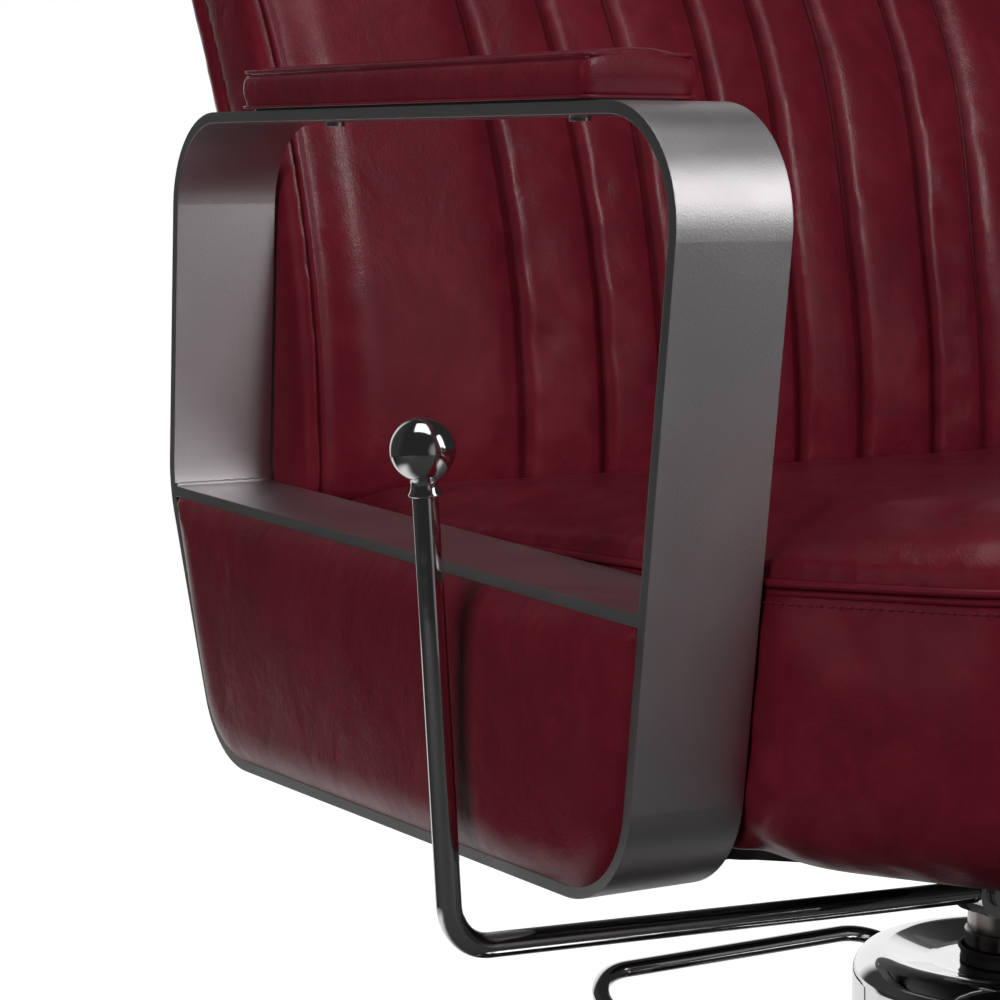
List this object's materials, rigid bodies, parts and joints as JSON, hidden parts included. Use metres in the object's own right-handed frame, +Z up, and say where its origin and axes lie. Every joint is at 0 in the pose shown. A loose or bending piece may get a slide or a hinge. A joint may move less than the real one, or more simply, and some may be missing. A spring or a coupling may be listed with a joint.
{
  "type": "hydraulic barber chair",
  "caption": "Adjustable salon chair on a round base: pump column with foot loop, padded seat, band armrests, reclining channelled back, headrest and footrest.",
  "frame": {"origin": "on the floor, on the axis of the lifting column", "axes": "+Z up, -Y the way the sitter faces, -X the sitter's right-hand side"},
  "size_m": [0.7966, 1.0895, 1.2428],
  "materials": {
    "cast_base": "satin",
    "polished_sheet": "polished",
    "satin_steel": "satin",
    "dark_steel": "satin",
    "column_steel": "polished",
    "plated_steel": "polished",
    "black_rubber": "matt",
    "red_leather": "semi-gloss",
    "ply_board": "plain",
    "tread_alloy": "satin"
  },
  "bodies": {
    "base": {"base_plate": "cast_base", "floor_ring": "black_rubber", "base_dish": "polished_sheet", "pump_body": "dark_steel", "pump_bolts": "plated_steel", "pump_cover": "polished_sheet", "guide_sleeve": "column_steel", "column_collar": "black_rubber"},
    "pedal": {"pedal_loop": "plated_steel", "pedal_shaft": "plated_steel"},
    "lift": {"piston": "column_steel", "thrust_washer": "plated_steel"},
    "chassis": {"swivel_head": "dark_steel", "mounting_plate": "dark_steel", "plate_bolts": "plated_steel", "cross_rail_front": "dark_steel", "cross_rail_rear": "dark_steel", "seat_pan": "ply_board", "seat_box": "red_leather", "seat_cushion": "red_leather", "lever_bracket": "dark_steel", "lever_pin": "plated_steel", "arm_frame_right": "satin_steel", "arm_frame_left": "satin_steel", "arm_shelf_right": "satin_steel", "arm_shelf_left": "satin_steel", "side_panel_right": "red_leather", "side_panel_left": "red_leather", "arm_pad_board_right": "ply_board", "arm_pad_board_left": "ply_board", "arm_pad_right": "red_leather", "arm_pad_left": "red_leather", "arm_pad_screws_right": "plated_steel", "arm_pad_screws_left": "plated_steel", "arm_bolts_right": "plated_steel", "arm_bolts_left": "plated_steel", "hinge_bracket_right": "dark_steel", "hinge_bracket_left": "dark_steel", "recline_pin_right": "plated_steel", "recline_pin_left": "plated_steel", "footrest_bracket_right": "dark_steel", "footrest_bracket_left": "dark_steel", "footrest_pin_right": "plated_steel", "footrest_pin_left": "plated_steel"},
    "hand_lever": {"lever_boss": "plated_steel", "lever_rod": "plated_steel", "lever_knob": "plated_steel"},
    "backrest": {"back_frame": "ply_board", "back_cushion": "red_leather", "back_shell": "red_leather", "headrest_socket": "dark_steel"},
    "headrest_slide": {"headrest_posts": "plated_steel"},
    "headrest": {"headrest_clamp": "dark_steel", "headrest_board": "ply_board", "headrest_pad": "red_leather"},
    "footrest": {"footrest_leg_right": "plated_steel", "footrest_leg_left": "plated_steel", "tread_pin": "plated_steel"},
    "tread": {"foot_tread": "tread_alloy", "tread_strips": "black_rubber"}
  },
  "joints": [
    {"name": "pump_pedal", "type": "hinge", "parent": "base", "child": "pedal", "pos_m": [0, 0.056, 0.104], "axis": [-1, 0, 0], "range_deg": [0, 20], "stiffness_Nm_per_rad": 8, "springref_deg": -20.05},
    {"name": "column_lift", "type": "slide", "parent": "base", "child": "lift", "axis": [0, 0, 1], "range_m": [-0.01, 0.13]},
    {"name": "seat_swivel", "type": "hinge", "parent": "lift", "child": "chassis", "pos_m": [0, 0, 0.28], "axis": [0, 0, 1], "continuous": true},
    {"name": "release_lever", "type": "hinge", "parent": "chassis", "child": "hand_lever", "pos_m": [-0.05, -0.042, 0.2935], "axis": [0, -1, 0], "range_deg": [0, 12], "stiffness_Nm_per_rad": 6, "springref_deg": -25.78},
    {"name": "back_recline", "type": "hinge", "parent": "chassis", "child": "backrest", "pos_m": [0, 0.24, 0.448], "axis": [-1, 0, 0], "range_deg": [0, 45]},
    {"name": "headrest_height", "type": "slide", "parent": "backrest", "child": "headrest_slide", "axis": [0, 0.309, 0.9511], "range_m": [0, 0.06]},
    {"name": "headrest_tilt", "type": "hinge", "parent": "headrest_slide", "child": "headrest", "pos_m": [0, 0.50847, 1.1632], "axis": [1, 0, 0], "range_deg": [-20, 12]},
    {"name": "footrest_swing", "type": "hinge", "parent": "chassis", "child": "footrest", "pos_m": [0, -0.15, 0.302], "axis": [-1, 0, 0], "range_deg": [0, 40]},
    {"name": "tread_fold", "type": "hinge", "parent": "footrest", "child": "tread", "pos_m": [0, -0.435, 0.134], "axis": [-1, 0, 0], "range_deg": [0, 55]}
  ]
}
